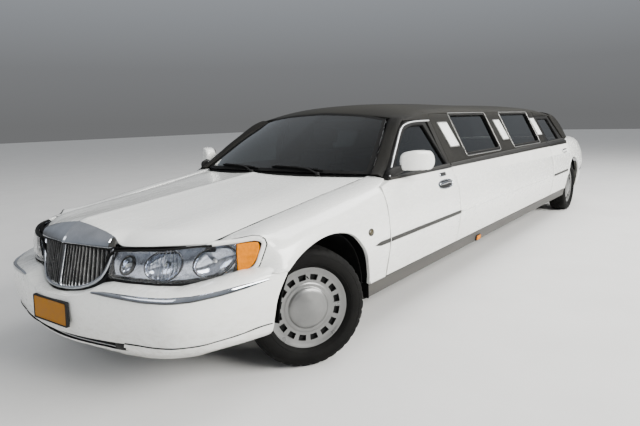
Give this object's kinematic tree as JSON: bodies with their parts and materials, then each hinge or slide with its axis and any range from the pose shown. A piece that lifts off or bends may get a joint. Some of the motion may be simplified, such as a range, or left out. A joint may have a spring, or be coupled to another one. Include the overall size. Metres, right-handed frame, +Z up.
{
  "type": "stretch limousine",
  "caption": "White four-door stretched luxury saloon with a dark vinyl roof, opening doors, hood and trunk lid, steering front wheels and rolling wheels.",
  "frame": {"origin": "on the ground under the middle of the car's length and width", "axes": "+Y towards the tail along the car's length, +X towards the car's left side, +Z up"},
  "size_m": [2.168, 8.517, 1.4729],
  "materials": {
    "paint_white": "gloss paint, warm white",
    "roof_vinyl": "grained vinyl, dark warm grey",
    "glass_tint": "dark tinted glass",
    "glass_screen": "lightly tinted glass",
    "chrome": "bright chrome",
    "brushed_trim": "brushed",
    "lamp_clear": "clear lens",
    "lamp_red": "red lens",
    "light_white": "white diffuser",
    "rubber_tyre": "worn black rubber",
    "wheel_silver": "silver painted, dusty",
    "frame_black": "chassis black",
    "plastic_black": "matt moulded plastic",
    "floor_grey": "undersealed",
    "steel_pipe": "dull, stained",
    "iron_engine": "as cast",
    "leather_grey": "seat leather, grey",
    "carpet_grey": "carpet trim"
  },
  "bodies": {
    "body": {"front_bumper": "paint_white", "grille": "chrome", "headlamps": "lamp_clear", "front_fenders": "paint_white", "windscreen": "glass_screen", "windscreen_pillars": "roof_vinyl", "roof": "roof_vinyl", "rear_pillars": "roof_vinyl", "side_panels": "paint_white", "stretch_windows": "glass_tint", "light_panels": "light_white", "sills": "brushed_trim", "quarter_panels": "paint_white", "rear_window": "glass_tint", "tail_lamps": "lamp_red", "rear_bumper": "paint_white", "frame_rails": "frame_black", "floor_pan": "floor_grey", "firewall": "floor_grey", "engine_block": "iron_engine", "fuel_tank": "floor_grey", "exhaust": "steel_pipe", "propshaft": "steel_pipe", "rear_axle": "frame_black", "suspension_arms": "frame_black", "wheel_houses": "plastic_black", "front_seats": "leather_grey", "dashboard": "plastic_black", "steering_wheel": "plastic_black", "partition": "carpet_grey", "side_bench": "leather_grey", "rear_seat": "leather_grey", "package_shelf": "carpet_grey"},
    "hood": {"hood": "paint_white", "grille_header": "chrome"},
    "trunk_lid": {"trunk_lid": "paint_white"},
    "front_door_left": {"front_door_left": "paint_white", "front_door_glass_left": "glass_tint", "door_mirror_left": "paint_white"},
    "rear_door_left": {"rear_door_left": "paint_white", "rear_door_glass_left": "glass_tint"},
    "knuckle_left": {"steering_knuckle_left": "frame_black"},
    "front_wheel_left": {"tyre_front_left": "rubber_tyre", "wheel_front_left": "wheel_silver"},
    "rear_wheel_left": {"tyre_rear_left": "rubber_tyre", "wheel_rear_left": "wheel_silver"},
    "front_door_right": {"front_door_right": "paint_white", "front_door_glass_right": "glass_tint", "door_mirror_right": "paint_white"},
    "rear_door_right": {"rear_door_right": "paint_white", "rear_door_glass_right": "glass_tint"},
    "knuckle_right": {"steering_knuckle_right": "frame_black"},
    "front_wheel_right": {"tyre_front_right": "rubber_tyre", "wheel_front_right": "wheel_silver"},
    "rear_wheel_right": {"tyre_rear_right": "rubber_tyre", "wheel_rear_right": "wheel_silver"}
  },
  "joints": [
    {"name": "hood_hinge", "type": "hinge", "parent": "body", "child": "hood", "pos_m": [0, -2.4485, 0.975], "axis": [-1, 0, 0], "range_deg": [0, 55]},
    {"name": "trunk_hinge", "type": "hinge", "parent": "body", "child": "trunk_lid", "pos_m": [0, 3.0765, 1.015], "axis": [1, 0, 0], "range_deg": [0, 75]},
    {"name": "front_door_left_hinge", "type": "hinge", "parent": "body", "child": "front_door_left", "pos_m": [0.999, -2.5655, 0.65], "axis": [0, 0, -1], "range_deg": [0, 65]},
    {"name": "rear_door_left_hinge", "type": "hinge", "parent": "body", "child": "rear_door_left", "pos_m": [0.999, 1.6505, 0.65], "axis": [0, 0, -1], "range_deg": [0, 65]},
    {"name": "steer_left", "type": "hinge", "parent": "body", "child": "knuckle_left", "pos_m": [0.76, -3.2085, 0.336], "axis": [0, 0, 1], "range_deg": [-3, 67]},
    {"name": "spin_front_left", "type": "hinge", "parent": "knuckle_left", "child": "front_wheel_left", "pos_m": [0.79816, -3.23235, 0.336], "axis": [0.848, -0.5299, 0], "continuous": true},
    {"name": "spin_rear_left", "type": "hinge", "parent": "body", "child": "rear_wheel_left", "pos_m": [0.8295, 2.8295, 0.336], "axis": [1, 0, 0], "continuous": true},
    {"name": "front_door_right_hinge", "type": "hinge", "parent": "body", "child": "front_door_right", "pos_m": [-0.999, -2.5655, 0.65], "axis": [0, 0, 1], "range_deg": [0, 65]},
    {"name": "rear_door_right_hinge", "type": "hinge", "parent": "body", "child": "rear_door_right", "pos_m": [-0.999, 1.6505, 0.65], "axis": [0, 0, 1], "range_deg": [0, 65]},
    {"name": "steer_right", "type": "hinge", "parent": "body", "child": "knuckle_right", "pos_m": [-0.76, -3.2085, 0.336], "axis": [0, 0, 1], "range_deg": [-3, 67]},
    {"name": "spin_front_right", "type": "hinge", "parent": "knuckle_right", "child": "front_wheel_right", "pos_m": [-0.79816, -3.18465, 0.336], "axis": [0.848, -0.5299, 0], "continuous": true},
    {"name": "spin_rear_right", "type": "hinge", "parent": "body", "child": "rear_wheel_right", "pos_m": [-0.8295, 2.8295, 0.336], "axis": [1, 0, 0], "continuous": true}
  ],
  "couplings": [
    {"joint": "steer_right", "follows": "steer_left", "ratio": 1}
  ]
}
